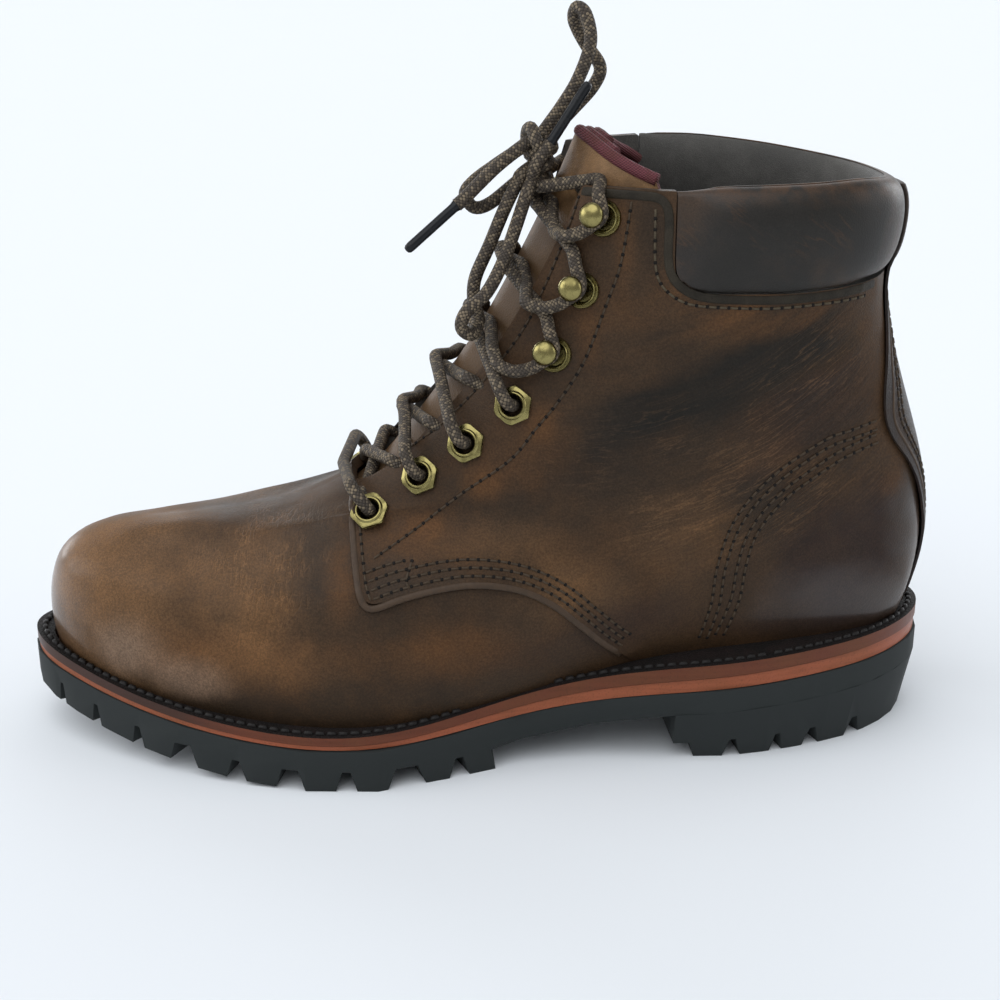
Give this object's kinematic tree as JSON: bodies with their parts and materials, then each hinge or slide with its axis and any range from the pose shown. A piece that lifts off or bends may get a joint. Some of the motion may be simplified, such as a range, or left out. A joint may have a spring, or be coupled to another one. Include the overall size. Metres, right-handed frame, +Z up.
{
  "type": "work boot",
  "caption": "Left lace-up work boot: hollow leather upper with padded collar, tongue, brass eyelets and speed hooks, tied bow, stitched welt and lugged rubber sole with heel.",
  "frame": {"origin": "on the floor under the sole, at the middle of the boot's length and width, measured without the bow", "axes": "toe towards -X, heel towards +X, outer side of the left boot towards -Y, +Z up"},
  "size_m": [0.3135, 0.1126, 0.2432],
  "materials": {
    "upper_leather": "oiled, worn, soft gloss",
    "collar_leather": "soft, worn, satin",
    "backstay_leather": "oiled, dark, satin",
    "tongue_leather": "soft, satin",
    "sole_rubber": "matt",
    "heel_rubber": "matt",
    "midsole_leather": "trimmed edge, waxed",
    "welt_leather": "waxed, stitched",
    "insole_leather": "plain, matt",
    "lace_cord": "round braid",
    "brass": "antique, polished by wear"
  },
  "bodies": {
    "root": {"outsole": "sole_rubber", "heel": "heel_rubber", "midsole": "midsole_leather", "welt": "welt_leather", "insole": "insole_leather", "upper": "upper_leather", "tongue": "tongue_leather", "collar": "collar_leather", "backstay": "backstay_leather", "eyelet_outer_1": "brass", "eyelet_outer_2": "brass", "eyelet_outer_3": "brass", "eyelet_outer_4": "brass", "eyelet_inner_1": "brass", "eyelet_inner_2": "brass", "eyelet_inner_3": "brass", "eyelet_inner_4": "brass", "hook_outer_1": "brass", "hook_outer_2": "brass", "hook_outer_3": "brass", "hook_inner_1": "brass", "hook_inner_2": "brass", "hook_inner_3": "brass", "lace_bar": "lace_cord", "lace_cross_1": "lace_cord", "lace_cross_2": "lace_cord", "lace_cross_3": "lace_cord", "lace_cross_4": "lace_cord", "lace_cross_5": "lace_cord", "lace_cross_6": "lace_cord", "lace_tie_outer": "lace_cord", "lace_tie_inner": "lace_cord", "lace_knot": "lace_cord", "lace_loop_up": "lace_cord", "lace_loop_left": "lace_cord", "lace_loop_down": "lace_cord", "lace_end_left": "lace_cord", "lace_end_up": "lace_cord"}
  },
  "joints": []
}
